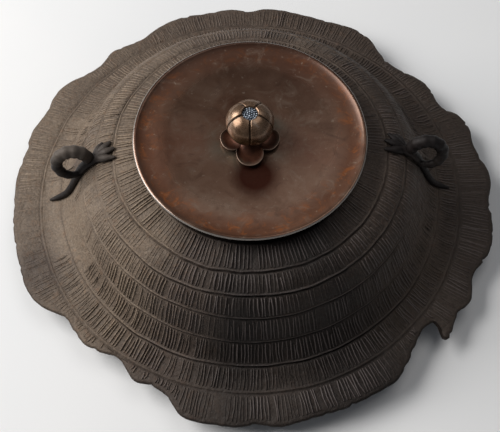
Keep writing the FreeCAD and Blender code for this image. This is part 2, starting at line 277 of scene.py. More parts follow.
def loop_faces(columns, deep, rows):
    """Faces between neighbouring columns of points, all the way round, for the first rows of each column."""
    faces = []
    for column in range(columns):
        following = (column + 1) % columns
        for row in range(rows):
            below = (row + 1) % deep
            faces.append((column * deep + row, column * deep + below, following * deep + below,
                          following * deep + row))
    return faces


def off_petal(angle):
    """Share of a petal from an angle to the nearest of five even lines, one of them at the front."""
    phase = (angle - math.radians(FRONT_ANGLE)) * KNOB_PETALS / math.tau
    return abs(phase - round(phase))


def node_material(name, build):
    """New material whose nodes are made by a function that takes the tree and its shader."""
    material = bpy.data.materials.new(name)
    material.use_nodes = True
    tree = material.node_tree
    build(tree, tree.nodes["Principled BSDF"])
    return material


def plug(tree, socket, value):
    """Link an input to another socket, or give it a number or a linear colour."""
    if isinstance(value, bpy.types.NodeSocket):
        tree.links.new(value, socket)
    else:
        socket.default_value = (*value, 1.0) if isinstance(value, tuple) else value


def plug_all(tree, node, settings):
    """Link or set several inputs of a node by their names."""
    for name, value in settings.items():
        plug(tree, node.inputs[name], value)


def own_place(tree):
    """The object's own coordinates, in metres."""
    return tree.nodes.new("ShaderNodeTexCoord").outputs["Object"]


def noise_node(tree, scale, detail, roughness, distortion=0.0):
    """Noise over the object's own coordinates."""
    node = tree.nodes.new("ShaderNodeTexNoise")
    plug_all(tree, node, {"Vector": own_place(tree), "Scale": scale, "Detail": detail, "Roughness": roughness,
                          "Distortion": distortion})
    return node.outputs["Fac"]


def ramp(tree, value, stops):
    """Colour ramp over a value: stops are (place, colour) with linear colours."""
    node = tree.nodes.new("ShaderNodeValToRGB")
    elements = node.color_ramp.elements
    while len(elements) < len(stops):
        elements.new(0.5)
    for element, (place, colour) in zip(elements, stops):
        element.position = place
        element.color = (*colour, 1.0)
    tree.links.new(value, node.inputs["Fac"])
    return node.outputs["Color"]


def spread(tree, value, low, high, out_low=0.0, out_high=1.0):
    """Value mapped from one range to another and kept inside it."""
    node = tree.nodes.new("ShaderNodeMapRange")
    plug_all(tree, node, {"Value": value, "From Min": low, "From Max": high, "To Min": out_low,
                          "To Max": out_high})
    return node.outputs["Result"]


def mix(tree, factor, first, second, blend="MIX"):
    """Colour mix; factor may be a number or a socket, the colours sockets or linear colours."""
    node = tree.nodes.new("ShaderNodeMix")
    node.data_type = "RGBA"
    node.blend_type = blend
    for name, value in (("Factor", factor), ("A", first), ("B", second)):
        plug(tree, [s for s in node.inputs if s.name == name and s.enabled][0], value)
    return [s for s in node.outputs if s.name == "Result" and s.enabled][0]


def add(tree, first, second, operation="ADD"):
    """Sum of two values, sockets or numbers, or another operation on them."""
    node = tree.nodes.new("ShaderNodeMath")
    node.operation = operation
    plug(tree, node.inputs[0], first)
    plug(tree, node.inputs[1], second)
    return node.outputs["Value"]


def bump(tree, shader, height, distance, strength):
    """Bump on a shader from a height value."""
    node = tree.nodes.new("ShaderNodeBump")
    plug_all(tree, node, {"Distance": distance, "Strength": strength, "Height": height})
    tree.links.new(node.outputs["Normal"], shader.inputs["Normal"])


def attribute(tree, name, *ranges):
    """Value stored on the vertices of the mesh, spread over ranges where they are given."""
    node = tree.nodes.new("ShaderNodeAttribute")
    node.attribute_name = name
    return spread(tree, node.outputs["Fac"], *ranges) if ranges else node.outputs["Fac"]


def coat(tree, shader, colour, roughness, metallic):
    """Colour, roughness and metal share of a shader, each a socket or a plain value."""
    plug_all(tree, shader, {"Base Color": colour, "Roughness": roughness, "Metallic": metallic})


def fine_coat(tree, shader, colour, grain, rough, metallic, depth, strength=0.5):
    """Coat whose roughness and bump follow a fine grain."""
    fine = noise_node(tree, *grain)
    coat(tree, shader, colour, spread(tree, fine, 0.3, 0.7, *rough), metallic)
    bump(tree, shader, fine, depth, strength)


def distance_node(tree, spot):
    """Distance from a spot of the object, in metres."""
    node = tree.nodes.new("ShaderNodeVectorMath")
    node.operation = "DISTANCE"
    node.inputs[1].default_value = spot
    tree.links.new(own_place(tree), node.inputs[0])
    return node.outputs["Value"]


def lid_patch(tree, spot, reach, share):
    """Share of a round patch of the lid: full within its first reach and gone past the second."""
    far = distance_node(tree, (spot[0] * MM, spot[1] * MM, COLLAR_TOP * MM))
    return spread(tree, far, reach[0] * MM, reach[1] * MM, share, 0.0)


def iron_nodes(tree, shader):
    """Old cast iron: dark brown skin, paler on crests from wear and in part as painted highlight, near black
    as painted shade where the crest value is below zero, painted light and shade from the tone value, with
    fine casting grain.
    """
    broad = noise_node(tree, 14.0, 5.0, 0.62, 0.4)
    grain = noise_node(tree, 750.0, 5.0, 0.75)
    pits = noise_node(tree, 260.0, 3.0, 0.55)
    skin = ramp(tree, broad, [(0.30, (0.115, 0.086, 0.065)), (0.52, (0.160, 0.121, 0.091)),
                              (0.72, (0.210, 0.162, 0.120))])
    rust = mix(tree, spread(tree, pits, 0.56, 0.72, 0.0, 0.5), skin, (0.200, 0.124, 0.082))
    crest = attribute(tree, "crest")
    # Painted shade: near black and less specular where the crest value is below zero, in ring grooves, under
    # the lid's edge, on the collar and on the brim's edge
    painted_shade = mix(tree, spread(tree, crest, -0.8, 0.0, 0.9, 0.0), rust, (0.012, 0.009, 0.008))
    # Paler where the crest value is high: wear on worn patches, and on ring and rib tops partly wear and
    # partly painted highlight
    worn = mix(tree, spread(tree, crest, 0.15, 1.0, 0.0, 0.8), painted_shade, (0.380, 0.300, 0.225))
    speckle = ramp(tree, grain, [(0.38, (0.45, 0.43, 0.42)), (0.60, (1.0, 1.0, 1.0))])
    grainy = mix(tree, 0.85, worn, speckle, "MULTIPLY")
    # Painted light and shade round the kettle from the tone value, with some patina
    light_and_patina = ramp(tree, attribute(tree, "tone"), [(0.0, (0.075, 0.066, 0.070)), (0.5, (0.52, 0.495, 0.505)),
                                                  (1.0, (1.06, 1.03, 0.97))])
    toned = mix(tree, 1.0, grainy, light_and_patina, "MULTIPLY")
    # Ring and rib tops kept at least this pale over the dark tone: partly wear, partly painted highlight
    rubbed = mix(tree, spread(tree, crest, 0.35, 0.8, 0.0, 0.8), toned, (0.104, 0.086, 0.082), "LIGHTEN")
    rough = spread(tree, add(tree, grain, pits, "MULTIPLY"), 0.1, 0.4, 0.52, 0.76)
    coat(tree, shader, rubbed, rough, 0.1)
    tree.links.new(spread(tree, crest, -0.8, 0.0, 0.03, 0.35), shader.inputs["Specular IOR Level"])
    waves = noise_node(tree, 130.0, 4.0, 0.6, 1.6)
    height = add(tree, add(tree, grain, 0.5, "MULTIPLY"), add(tree, pits, waves))
    bump(tree, shader, height, 0.0007, 0.85)


def lug_iron_nodes(tree, shader):
    """Cast iron of the lugs: blackened, with a painted highlight where the crest value is high, which only
    the left lug's top has.
    """
    broad = noise_node(tree, 60.0, 5.0, 0.6, 0.4)
    grain = noise_node(tree, 800.0, 4.0, 0.65)
    skin = ramp(tree, broad, [(0.32, (0.009, 0.007, 0.007)), (0.55, (0.018, 0.014, 0.013)),
                              (0.72, (0.036, 0.028, 0.024))])
    # Painted highlight from the crest value
    crest = attribute(tree, "crest", 0.2, 1.0, 0.0, 0.7)
    worn = mix(tree, crest, skin, (0.150, 0.122, 0.100))
    coat(tree, shader, worn, spread(tree, grain, 0.3, 0.7, 0.44, 0.64), 0.15)
    shader.inputs["Specular IOR Level"].default_value = 0.20
    bump(tree, shader, add(tree, grain, add(tree, broad, 0.8, "MULTIPLY")), 0.0004, 0.7)


def bronze_lid_nodes(tree, shader):
    """Patinated bronze of the lid: red-brown and grey-brown clouds, pale specks, darker towards the back, a
    painted reflection of the knob and a painted highlight on the outer lip.
    """
    broad = noise_node(tree, 26.0, 6.0, 0.6, 0.8)
    red = noise_node(tree, 17.0, 4.0, 0.55, 0.5)
    specks = noise_node(tree, 420.0, 2.0, 0.5)
    fine = noise_node(tree, 1200.0, 3.0, 0.6)
    brown = ramp(tree, broad, [(0.32, (0.092, 0.047, 0.029)), (0.52, (0.132, 0.073, 0.047)),
                               (0.70, (0.165, 0.105, 0.074))])
    warm = mix(tree, spread(tree, red, 0.46, 0.70, 0.0, 0.5), brown, (0.130, 0.045, 0.024))
    rubbed = attribute(tree, "edge", 0.35, 0.95, 0.0, 1.0)
    deep = mix(tree, add(tree, rubbed, 0.5, "MULTIPLY"), warm, (0.080, 0.028, 0.014))
    mottle = spread(tree, noise_node(tree, 120.0, 7.0, 0.72, 0.9), 0.52, 0.64, 0.0, 0.85)
    edge = mix(tree, add(tree, mottle, rubbed, "MULTIPLY"), deep, (0.200, 0.066, 0.021))
    place = tree.nodes.new("ShaderNodeSeparateXYZ")
    tree.links.new(own_place(tree), place.inputs["Vector"])
    # Darker towards the back of the lid
    back_share = spread(tree, place.outputs["Y"], BACK_DARK_REACH[0] * MM, BACK_DARK_REACH[1] * MM, 0.0, 0.72)
    darker_back = mix(tree, back_share, edge, (0.040, 0.018, 0.011))
    # Painted reflection of the knob: dark red and less specular
    knob_reflection = lid_patch(tree, KNOB_REFLECTION_SPOT, KNOB_REFLECTION_REACH, 0.95)
    near_seat = lid_patch(tree, BLOOM_SPOT, BLOOM_REACH, 0.6)
    bloom = add(tree, near_seat, spread(tree, broad, 0.48, 0.62), "MULTIPLY")
    green = mix(tree, bloom, darker_back, (0.085, 0.098, 0.075))
    clouds = noise_node(tree, 85.0, 6.0, 0.7, 1.2)
    dull = mix(tree, spread(tree, clouds, 0.54, 0.70, 0.0, 0.40), green, (0.200, 0.150, 0.115))
    dark = mix(tree, spread(tree, clouds, 0.30, 0.46, 0.45, 0.0), dull, (0.045, 0.022, 0.014))
    dotted = mix(tree, spread(tree, specks, 0.68, 0.78, 0.0, 0.4), dark, (0.30, 0.24, 0.19))
    with_knob_reflection = mix(tree, knob_reflection, dotted, (0.030, 0.008, 0.005))
    # Painted highlight on the outer lip
    rim = mix(tree, attribute(tree, "rim", 0.2, 1.0, 0.0, 0.7), with_knob_reflection, (0.40, 0.38, 0.35))
    polish = spread(tree, broad, 0.3, 0.75, 0.17, 0.30)
    rough = add(tree, polish, add(tree, rubbed, 0.20, "MULTIPLY"))
    coat(tree, shader, rim, rough, spread(tree, rubbed, 0.0, 1.0, 0.6, 0.15))
    shine = spread(tree, rubbed, 0.0, 1.0, 0.5, 0.12)
    dulled = add(tree, shine, add(tree, 1.0, knob_reflection, "SUBTRACT"), "MULTIPLY")
    tree.links.new(dulled, shader.inputs["Specular IOR Level"])
    bump(tree, shader, add(tree, add(tree, fine, 0.3, "MULTIPLY"), specks), 0.00006, 0.5)


def bronze_knob_nodes(tree, shader):
    """Rubbed bronze of the knob: golden brown, darker in the grooves, with small nicks."""
    broad = noise_node(tree, 120.0, 4.0, 0.6, 0.5)
    gold = ramp(tree, broad, [(0.32, (0.130, 0.074, 0.042)), (0.55, (0.220, 0.138, 0.088)),
                              (0.72, (0.330, 0.255, 0.200))])
    groove = attribute(tree, "groove", 0.15, 0.9, 0.0, 0.92)
    dark = mix(tree, groove, gold, (0.020, 0.014, 0.010))
    # Painted reflection of the dark lid on the bud's lower part
    lower = attribute(tree, "lower", 0.0, 1.0, 0.0, 0.75)
    lid_reflection = mix(tree, lower, dark, (0.090, 0.052, 0.014))
    fine_coat(tree, shader, lid_reflection, (1500.0, 3.0, 0.6), (0.22, 0.36), 0.7, 0.00004)


def seat_nodes(tree, shader):
    """Bronze of the flower seat: red-brown, with pale rims and a green bloom in patches."""
    broad = noise_node(tree, 150.0, 4.0, 0.6, 0.5)
    brown = ramp(tree, broad, [(0.35, (0.055, 0.022, 0.014)), (0.65, (0.150, 0.056, 0.031))])
    rim = mix(tree, attribute(tree, "rim", 0.2, 1.0, 0.0, 0.65), brown, (0.27, 0.20, 0.15))
    green = mix(tree, spread(tree, broad, 0.56, 0.68, 0.0, 0.45), rim, (0.070, 0.090, 0.062))
    fine_coat(tree, shader, green, (1500.0, 3.0, 0.6), (0.30, 0.48), 0.7, 0.00005)


def silver_nodes(tree, shader):
    """Tarnished silver of the stamens, bluish dark in patches."""
    broad = noise_node(tree, 500.0, 3.0, 0.6)
    tone = ramp(tree, broad, [(0.35, (0.060, 0.075, 0.100)), (0.65, (0.42, 0.47, 0.53))])
    fine_coat(tree, shader, tone, (2200.0, 3.0, 0.6), (0.28, 0.46), 0.85, 0.00004)


def lacquer_nodes(tree, shader):
    """Black lacquer filled with iron dust."""
    broad = noise_node(tree, 60.0, 5.0, 0.6)
    tone = ramp(tree, broad, [(0.35, (0.012, 0.010, 0.009)), (0.65, (0.030, 0.024, 0.020))])
    fine_coat(tree, shader, tone, (1100.0, 4.0, 0.65), (0.35, 0.60), 0.0, 0.0002, 0.6)


def show_backdrop(tree, plain, kind, share, output):
    """Let the camera see a share of the backdrop's colour in place of a plain shader."""
    backdrop = tree.nodes.new(kind)
    backdrop.inputs["Color"].default_value = BACKDROP
    seen = tree.nodes.new("ShaderNodeLightPath").outputs["Is Camera Ray"]
    choice = tree.nodes.new("ShaderNodeMixShader")
    tree.links.new(add(tree, share, seen, "MULTIPLY"), choice.inputs["Fac"])
    tree.links.new(plain.outputs[0], choice.inputs[1])
    tree.links.new(backdrop.outputs[0], choice.inputs[2])
    tree.links.new(choice.outputs["Shader"], tree.nodes[output].inputs["Surface"])


def floor_nodes(tree, shader):
    """Plain pale table top that runs into the backdrop far from the kettle."""
    broad = noise_node(tree, 3.0, 3.0, 0.5)
    tone = ramp(tree, broad, [(0.35, (0.76, 0.77, 0.78)), (0.65, (0.82, 0.82, 0.82))])
    coat(tree, shader, tone, 0.75, 0.0)
    far = spread(tree, distance_node(tree, (0.0, 0.0, 0.0)), FLOOR_PLAIN_RADIUS, FLOOR_END_RADIUS)
    show_backdrop(tree, shader, "ShaderNodeEmission", far, "Material Output")


IRON = node_material("cast_iron", iron_nodes)
LUG_IRON = node_material("lug_iron", lug_iron_nodes)
BRONZE_LID = node_material("bronze_lid", bronze_lid_nodes)
BRONZE_KNOB = node_material("bronze_knob", bronze_knob_nodes)
BRONZE_SEAT = node_material("bronze_seat", seat_nodes)
SILVER = node_material("silver", silver_nodes)
LACQUER = node_material("lacquer", lacquer_nodes)
FLOOR = node_material("floor", floor_nodes)


def unit(start, end):
    """Direction from one (radius, height) point to the next."""
    length = math.hypot(end[0] - start[0], end[1] - start[1])
    return ((end[0] - start[0]) / length, (end[1] - start[1]) / length)


def lengths_along(points):
    """Length of a path from its start to each of its points."""
    lengths = [0.0]
    for start, end in zip(points, points[1:]):
        lengths.append(lengths[-1] + math.dist(start, end))
    return lengths


def rounded_path(points, rounds):
    """Points of a path of straight runs with an arc at each inner corner."""
    path = [points[0]]
    for before, corner, after, radius in zip(points, points[1:], points[2:], rounds):
        way_in = unit(before, corner)
        way_out = unit(corner, after)
        turn = math.acos(way_in[0] * way_out[0] + way_in[1] * way_out[1])
        side = 1.0 if way_in[0] * way_out[1] - way_in[1] * way_out[0] > 0 else -1.0
        reach = radius * math.tan(turn / 2)
        start = (corner[0] - way_in[0] * reach, corner[1] - way_in[1] * reach)
        centre = (start[0] - way_in[1] * radius * side, start[1] + way_in[0] * radius * side)
        dx = start[0] - centre[0]
        dz = start[1] - centre[1]
        for step in range(ARC_STEPS + 1):
            angle = side * turn * step / ARC_STEPS
            path.append((centre[0] + dx * math.cos(angle) - dz * math.sin(angle),
                         centre[1] + dx * math.sin(angle) + dz * math.cos(angle)))
    path.append(points[-1])
    return path


DOME_CORNERS = [(COLLAR_RADIUS, COLLAR_TOP), (COLLAR_RADIUS, SHOULDER_TOP), SHOULDER_CORNER, WAIST_CORNER,
                BRIM_END]
DOME_PATH = rounded_path(DOME_CORNERS, [COLLAR_ROUND, SHOULDER_ROUND, WAIST_ROUND])
DOME_LENGTHS = lengths_along(DOME_PATH)


def dome_at(length):
    """Point and outward normal of the dome's outside at a length down its path, in mm."""
    index = bisect.bisect_left(DOME_LENGTHS, length, 1, len(DOME_LENGTHS) - 1)
    start, end = DOME_PATH[index - 1], DOME_PATH[index]
    run = DOME_LENGTHS[index] - DOME_LENGTHS[index - 1]
    share = (length - DOME_LENGTHS[index - 1]) / run
    way = unit(start, end)
    point = (start[0] + (end[0] - start[0]) * share, start[1] + (end[1] - start[1]) * share)
    return point, (-way[1], way[0])


def length_at_radius(radius):
    """Length down the dome's path where it reaches a radius past the collar."""
    for index in range(2, len(DOME_PATH)):
        if DOME_PATH[index][0] >= radius and DOME_PATH[index][0] > COLLAR_RADIUS + 0.01:
            start, end = DOME_PATH[index - 1], DOME_PATH[index]
            share = (radius - start[0]) / (end[0] - start[0])
            return DOME_LENGTHS[index - 1] + share * (DOME_LENGTHS[index] - DOME_LENGTHS[index - 1])
    return DOME_LENGTHS[-1]


RING_LENGTHS = [length_at_radius(radius) for radius in RING_RADII]


def wander(angle, place, scale, seed):
    """Smooth noise round the kettle, from -1 to 1."""
    spot = Vector((math.cos(angle) * scale, math.sin(angle) * scale, place + seed * SEED_STEP))
    return noise.noise(spot)


def add_waves(value, angle, place, waves):
    """Value with waves of noise round the kettle added to it."""
    for height, step, scale, seed in waves:
        value += height * wander(angle, place * step, scale, seed)
    return value


def around_from(angle, degrees):
    """Turn from a bearing in degrees to an angle, between -pi and pi."""
    turn = angle - math.radians(degrees)
    return math.atan2(math.sin(turn), math.cos(turn))


def patch(angle, radius, bearing, half_angle, middle, half_width):
    """Strength of a soft patch of the dome, 1 at its middle."""
    return math.exp(-(around_from(angle, bearing) / half_angle) ** 2 - ((radius - middle) / half_width) ** 2)


def wear(angle, radius):
    """How much of the cast pattern is left, from 0 where it is rubbed smooth to 1."""
    left = add_waves(WEAR_LEVEL, angle, radius, WEAR_WAVES)
    rubbed = sum(share * patch(angle, radius, *place) for *place, share in WORN_PATCHES)
    return clamp(left - rubbed)


def tone(angle, radius):
    """Painted light and shade round the kettle, with some patina: lighter on the left, darker at the front
    and right, from 0 to 1.
    """
    bearing = math.degrees(angle) % 360
    before, after = [(a, b) for a, b in zip(PAINTED_LIGHT_TONES, PAINTED_LIGHT_TONES[1:]) if a[0] <= bearing <= b[0]][0]
    share = (bearing - before[0]) / (after[0] - before[0])
    share = share * share * (3 - 2 * share)
    value = before[1] + (after[1] - before[1]) * share
    # Painted light and shade on the brim: lifted where the dome is dark, darker at the sides and more on the
    # right; darker also in a patch at bearing 203
    edge = clamp((radius - EDGE_TONE_RADIUS) / EDGE_TONE_WIDTH)
    lifted = EDGE_LIFT * edge * max(0.0, EDGE_LEAST_TONE - value)
    value += lifted - EDGE_SIDES_DARK * edge * math.cos(angle) ** 2
    value -= EDGE_RIGHT_DARK * edge * max(0.0, math.cos(angle)) ** 2
    value -= DARK_EDGE_SHARE * edge * patch(angle, radius, *DARK_EDGE_PATCH)
    # Painted shade beside the left lug
    value -= LEFT_LUG_SHADE_SHARE * patch(angle, radius, *LEFT_LUG_SHADE_PATCH)
    return clamp(add_waves(value, angle, radius, TONE_WAVES))


def ring_wander(angle, number):
    """How far a ring strays from its even course."""
    return add_waves(0.0, angle, number, RING_WAVES)


def faded(angle, bearing, reach, share):
    """Share of the pattern's height left near a bearing where it has faded."""
    return 1.0 - share * math.exp(-(around_from(angle, bearing) / reach) ** 2)


def skin_lift(angle, length, radius):
    """Height of rings, their grooves and cast unevenness over the plain dome, and the crest value there."""
    uneven = add_waves(0.0, angle, radius, SKIN_WAVES)
    lift = 0.0
    crest = WORN_CREST * (1.0 - wear(angle, radius))
    # Painted shade: the crest value drops in a strip under the lid's edge
    shaded = SHADED_RADIUS + SHADED_FRONT * max(0.0, -math.sin(angle))
    crest -= SHADED_CREST * clamp(shaded + SHADED_BLEND - radius)
    for number, ring in enumerate(RING_LENGTHS):
        offset = length - ring - ring_wander(angle, number)
        if abs(offset) < RING_REACH:
            worn = RING_LEAST + (1.0 - RING_LEAST) * wear(angle, radius + RING_WEAR_SHIFT)
            kept = worn * faded(angle, *FADED_RINGS)
            kept *= LAST_RING_SHARE if ring == RING_LENGTHS[-1] else 1.0
            ridge = kept * math.exp(-(offset / RING_HALF_WIDTH) ** 2)
            groove = kept * math.exp(-((offset - RING_GROOVE_OFFSET) / RING_GROOVE_HALF_WIDTH) ** 2)
            lift += RING_HEIGHT * ridge - RING_GROOVE_DEPTH * groove
            # Paler ring top, partly wear and partly painted highlight; painted shade in the groove below it
            crest = max(crest, RING_CREST * ridge) - RING_GROOVE_SHADE * groove
    return uneven + lift, crest


def brim_outline():
    """Ordered outline of the brim from the CAD body: points evenly spaced along it, in mm."""
    mesh = bmesh.new()
    mesh.from_mesh(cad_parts["kettle_body"].data)
    bmesh.ops.remove_doubles(mesh, verts=mesh.verts, dist=1e-6)
    mesh.normal_update()
    outer = [f for f in mesh.faces if f.calc_center_median().xy.length > BRIM_LEAST_RADIUS * MM]
    wall = {f for f in outer if abs(f.normal.z) < EDGE_WALL_SLOPE}
    top_edges = {}
    for face in wall:
        for edge in face.edges:
            outside = [f for f in edge.link_faces if f not in wall]
            if outside and outside[0].normal.z > TOP_FACE_SLOPE:
                a, b = edge.verts
                top_edges.setdefault(a.index, []).append(b.index)
                top_edges.setdefault(b.index, []).append(a.index)
    mesh.verts.ensure_lookup_table()
    start = max(top_edges, key=lambda i: mesh.verts[i].co.x)
    loop = [start, max(top_edges[start], key=lambda i: mesh.verts[i].co.y)]
    while loop[-1] != start:
        loop.append([i for i in top_edges[loop[-1]] if i != loop[-2]][0])
    points = [(mesh.verts[i].co.x / MM, mesh.verts[i].co.y / MM) for i in loop]
    mesh.free()
    lengths = lengths_along(points)
    even = []
    for column in range(COLUMNS):
        target = lengths[-1] * column / COLUMNS
        index = bisect.bisect_left(lengths, target, 1) - 1
        share = (target - lengths[index]) / (lengths[index + 1] - lengths[index])
        a, b = points[index], points[index + 1]
        even.append((a[0] + (b[0] - a[0]) * share, a[1] + (b[1] - a[1]) * share))
    return even


def smooth_angles(outline):
    """Angle of each outline point, and the same evened out so that it always grows round the kettle."""
    angles = []
    for x, y in outline:
        angle = math.atan2(y, x)
        last = angles[-1] if angles else 0.0
        angles.append(angle + math.tau * round((last - angle) / math.tau))
    growing = []
    for angle in angles:
        growing.append(max(angle, growing[-1] + LEAST_STEP) if growing else angle)
    reach = 2
    result = []
    for column in range(COLUMNS):
        total = 0.0
        for offset in range(-reach, reach + 1):
            wrap, index = divmod(column + offset, COLUMNS)
            total += growing[index] + math.tau * wrap
        result.append(total / (2 * reach + 1))
    return angles, result


def dome_stations():
    """Lengths down the dome's path where the outer mesh has a row of points, up to the ragged part."""
    near = (-1.2, -0.65, -0.3, 0.0, 0.3, 0.65, 1.1, 1.55, 2.1)
    stations = [0.0, 1.2, 2.4, 3.2, 4.2, 5.2, 6.3, 7.4, 8.5]
    before = stations[-1]
    for ring in RING_LENGTHS:
        first = ring + near[0]
        gaps = STATIONS_BETWEEN_RINGS + 1
        stations += [before + (first - before) * step / gaps for step in range(1, gaps)]
        stations += [ring + offset for offset in near]
        before = stations[-1]
    return stations


def scene_object(name, data):
    """New object in the scene."""
    obj = bpy.data.objects.new(name, data)
    bpy.context.scene.collection.objects.link(obj)
    return obj


def mesh_object(name, verts, faces, material, attributes):
    """Smooth, closed mesh object from points in metres, with values stored on its points."""
    mesh = bpy.data.meshes.new(name)
    mesh.from_pydata(verts, [], faces)
    for key, values in attributes.items():
        layer = mesh.attributes.new(key, "FLOAT", "POINT")
        layer.data.foreach_set("value", values)
    mesh.polygons.foreach_set("use_smooth", [True] * len(mesh.polygons))
    mesh.materials.append(material)
    outward = bmesh.new()
    outward.from_mesh(mesh)
    bmesh.ops.recalc_face_normals(outward, faces=outward.faces)
    outward.to_mesh(mesh)
    outward.free()
    return scene_object(name, mesh)


def rib_field(outline_radius):
    """Ribs between the rings: points, faces and crest values of small raised bars on the dome."""
    verts = []
    faces = []
    crest = []
    across = ((-0.5, -0.25), (-0.2, 1.0), (0.2, 1.0), (0.5, -0.25))
    along = ((0.0, -0.3), (0.07, 0.9), (0.5, 1.0), (0.94, 0.9), (1.0, -0.3))
    wide = len(across)
    grid = [[row * wide + column for column in range(wide)] for row in range(len(along))]
    rim = [row[0] for row in grid] + grid[-1][1:] + [row[-1] for row in grid[-2::-1]] + grid[0][-2:0:-1]
    rib_faces = [(a, a + wide, a + wide + 1, a + 1) for row in grid[:-1] for a in row[:-1]] + [rim]
    bounds = [length_at_radius(FIRST_RIB_RADIUS)] + RING_LENGTHS
    for row in range(len(bounds)):
        start = bounds[row] + RIB_START_GAP
        end = bounds[row + 1] - RIB_END_GAP if row + 1 < len(bounds) else None
        middle = dome_at((start + (end or start + LAST_RIB_LENGTH)) / 2)[0][0]
        count = round(math.tau * middle / RIB_PITCH)
        for number in range(count):
            shift = random.uniform(-RIB_SHIFT, RIB_SHIFT)
            angle = math.tau * (number + shift) / count + row * RIB_ROW_TURN
            skew = random.uniform(-RIB_SKEW, RIB_SKEW)
            bend = random.uniform(-RIB_BEND, RIB_BEND)
            cut_short = random.uniform(*RIB_CUT_RANGE) if random.random() < RIB_CUT_CHANCE else 0.0
            missing = random.random() < RIB_MISSING_CHANCE
            last = None if end is None else end + ring_wander(angle, row)
            if last is None:
                bearing = math.degrees(angle) % 360
                nearest = [outline_radius[int(bearing + aside) % 360] for aside in (-0.5, 0.0, 0.5)]
                last = length_at_radius(min(nearest) - RIB_EDGE_GAP)
            strayed = ring_wander(angle, row - 1) if row else 0.0
            first = start + random.uniform(*RIB_START_RANGE) + strayed
            last -= random.uniform(*RIB_END_RANGE)
            kept = wear(angle, middle)
            height = RIB_HEIGHT * kept * random.uniform(*RIB_HEIGHT_RANGE) * faded(angle, *FADED_RIBS)
            height *= faded(angle, *FADED_LAST_RIBS) if end is None else 1.0
            width = RIB_WIDTH * random.uniform(*RIB_WIDTH_RANGE)
            shaded = SHADED_FRONT * max(0.0, -math.sin(angle))
            first = max(first, length_at_radius(SHADED_RADIUS + shaded) + SHADED_GAP)
            first += (last - first) * cut_short
            if last - first < RIB_LEAST_LENGTH or height < RIB_LEAST_HEIGHT or missing:
                continue
            base = len(verts)
            for share, taper in along:
                length = first + (last - first) * share
                point, normal = dome_at(length)
                turn = angle + skew * (share - 0.5) + bend * math.sin(math.pi * share)
                ground = skin_lift(turn, length, point[0])[0]
                for side, rise in across:
                    raised = taper > 0 and rise > 0
                    top = ground + (height * min(rise, taper) if raised else -RIB_ROOT_DEPTH)
                    radius = point[0] + normal[0] * top
                    z = point[1] + normal[1] * top
                    spot = turn + side * width / point[0]
                    verts.append(spot_at(radius, spot, z))
                    # Paler rib tops, partly wear and partly painted highlight
                    crest.append(max(0.0, min(rise, taper)) * kept * RIB_CREST)
            faces += [tuple(base + index for index in face) for face in rib_faces]
    return verts, faces, crest


def blended_angle(true, even, radius, edge_radius):
    """Angle of a column at a radius: evened out up the dome, true at the ragged edge."""
    share = clamp((radius - BLEND_RADIUS) / (edge_radius - BLEND_RADIUS))
    return even + (true - even) * share ** BLEND_POWER


def kettle_dome():
    """Cast dome with its collar, rings, ribs and ragged brim, closed underneath."""
    outline = brim_outline()
    true_angles, even_angles = smooth_angles(outline)
    stations = dome_stations()
    verts = []
    crest = []
    outline_radius = [BRIM_RADIUS] * 360
    for (x, y), true, even in zip(outline, true_angles, even_angles):
        chip = max(0.0, wander(true, 0.0, CHIP_SCALE, 9) - CHIP_LEAST)
        edge_radius = math.hypot(x, y) + EDGE_WANDER * wander(true, 0.0, EDGE_SCALE, 8) - CHIP_DEPTH * chip
        bearing = int(math.degrees(true) % 360)
        outline_radius[bearing] = min(outline_radius[bearing], edge_radius)
        ragged_width = edge_radius - EDGE_ROUND - FIXED_RADIUS
        ragged = [FIXED_RADIUS + ragged_width * step / RAGGED_ROWS for step in range(1, RAGGED_ROWS + 1)]
        line = []
        for length in stations + [length_at_radius(r) for r in ragged]:
            point, normal = dome_at(length)
            angle = blended_angle(true, even, point[0], edge_radius)
            plain = length <= COLLAR_LENGTH
            # Painted shade on the collar under the lid
            lift, top = (0.0, COLLAR_SHADE) if plain else skin_lift(angle, length, point[0])
            line.append((point[0] + normal[0] * lift, point[1] + normal[1] * lift, angle, top))
        edge_length = length_at_radius(edge_radius)
        edge_height = dome_at(edge_length)[0][1]
        high = edge_height + skin_lift(true, edge_length, edge_radius)[0]
        # Painted shade on the brim's edge wall and its lowest row
        line += [(edge_radius - inset, high - drop, true, BRIM_EDGE_SHADE) for inset, drop in EDGE_ROWS]
        line.append((edge_radius - LOWEST_INSET, edge_height - WALL + LOWEST_LIFT, true, BRIM_EDGE_SHADE))
        inside = [length_at_radius(r) for r in (*ragged[-2::-1], *UNDERSIDE_RADII)] + stations[-18::-6]
        for length in inside:
            point, normal = dome_at(max(length, UNDERSIDE_LEAST_LENGTH))
            angle = blended_angle(true, even, point[0], edge_radius)
            line.append((point[0] - normal[0] * WALL, point[1] - normal[1] * WALL, angle, 0.0))
        mouth = COLLAR_RADIUS - WALL
        line += [(mouth, SHOULDER_TOP - MOUTH_DROP, even, 0.0), (mouth, COLLAR_TOP, even, 0.0)]
        verts += [spot_at(radius, angle, z) for radius, z, angle, _ in line]
        crest += [top for _, _, _, top in line]
    deep = len(verts) // COLUMNS
    faces = loop_faces(COLUMNS, deep, deep)
    rib_verts, rib_faces, rib_crest = rib_field(outline_radius)
    start = len(verts)
    verts += rib_verts
    faces += [tuple(start + index for index in face) for face in rib_faces]
    tones = [tone(math.atan2(y, x), math.hypot(x, y) / MM) for x, y, _ in verts]
    obj = mesh_object("kettle_dome", verts, faces, IRON, {"crest": crest + rib_crest, "tone": tones})
    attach(obj, "kettle")
    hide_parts("kettle_body")


